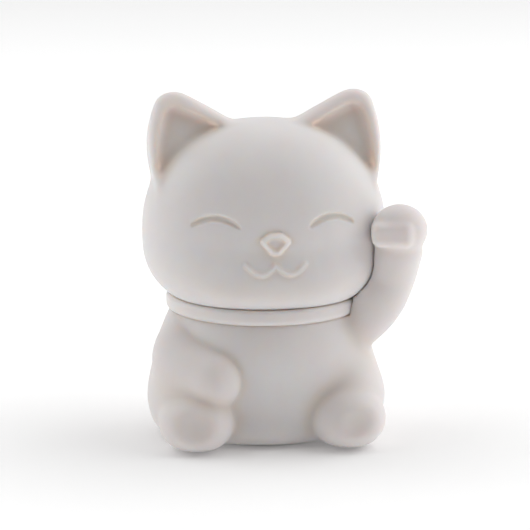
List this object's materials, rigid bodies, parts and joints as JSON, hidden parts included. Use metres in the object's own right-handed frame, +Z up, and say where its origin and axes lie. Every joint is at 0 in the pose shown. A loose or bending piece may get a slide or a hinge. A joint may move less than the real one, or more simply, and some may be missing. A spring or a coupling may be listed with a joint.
{
  "type": "beckoning cat figurine",
  "caption": "Round-headed beckoning cat with one raised paw, closed smiling eyes and a collar band, a hollow vinyl skin over a small plug-in night-light module.",
  "frame": {"origin": "centre of the flat underside of the light module, on the plane that the figure stands on", "axes": "+Z up to the ear tips; the face looks along -Y; +X is the side of the raised paw"},
  "size_m": [0.079, 0.068, 0.1],
  "materials": {
    "vinyl": "fine matte moulded soft vinyl, slightly translucent",
    "white_abs": "fine spark-eroded texture",
    "frosted_dome": "frosted, translucent",
    "board": "solder mask over glass fibre",
    "led_epoxy": "clear to milky epoxy",
    "tinned_metal": "tinned, slightly dull",
    "resistor_body": "lacquered",
    "switch_case": "pressed nickel-plated steel",
    "black_knob": "matte moulded",
    "cell_steel": "polished nickel-plated steel with fine spun lines",
    "contact_metal": "nickel plated",
    "screw_steel": "zinc plated",
    "red_pvc": "satin insulation",
    "black_pvc": "satin insulation",
    "white_pvc": "satin insulation"
  },
  "bodies": {
    "light_base": {"base_plate": "white_abs", "module_housing": "white_abs", "light_dome": "frosted_dome", "circuit_board": "board", "led": "led_epoxy", "led_leads": "tinned_metal", "resistor": "resistor_body", "switch_body": "switch_case", "button_cell_1": "cell_steel", "button_cell_2": "cell_steel", "button_cell_3": "cell_steel", "negative_spring": "contact_metal", "positive_contact": "contact_metal", "housing_screws": "screw_steel", "wire_red": "red_pvc", "wire_black": "black_pvc", "wire_white": "white_pvc"},
    "figure": {"body_shell": "vinyl", "collar_ring": "vinyl"},
    "head": {"head_shell": "vinyl"},
    "switch": {"switch_slider": "black_knob"},
    "door": {"battery_door": "white_abs", "door_screws": "screw_steel"}
  },
  "joints": [
    {"name": "skin_lift", "type": "slide", "parent": "light_base", "child": "figure", "axis": [0, 0, 1], "range_m": [0, 0.04]},
    {"name": "head_turn", "type": "hinge", "parent": "figure", "child": "head", "pos_m": [0, 0, 0.041], "axis": [0, 0, 1], "range_deg": [-5, 5]},
    {"name": "switch_slide", "type": "slide", "parent": "light_base", "child": "switch", "axis": [1, 0, 0], "range_m": [0, 0.002]},
    {"name": "door_pull", "type": "slide", "parent": "light_base", "child": "door", "axis": [0, 0, -1], "range_m": [0, 0.012]}
  ]
}
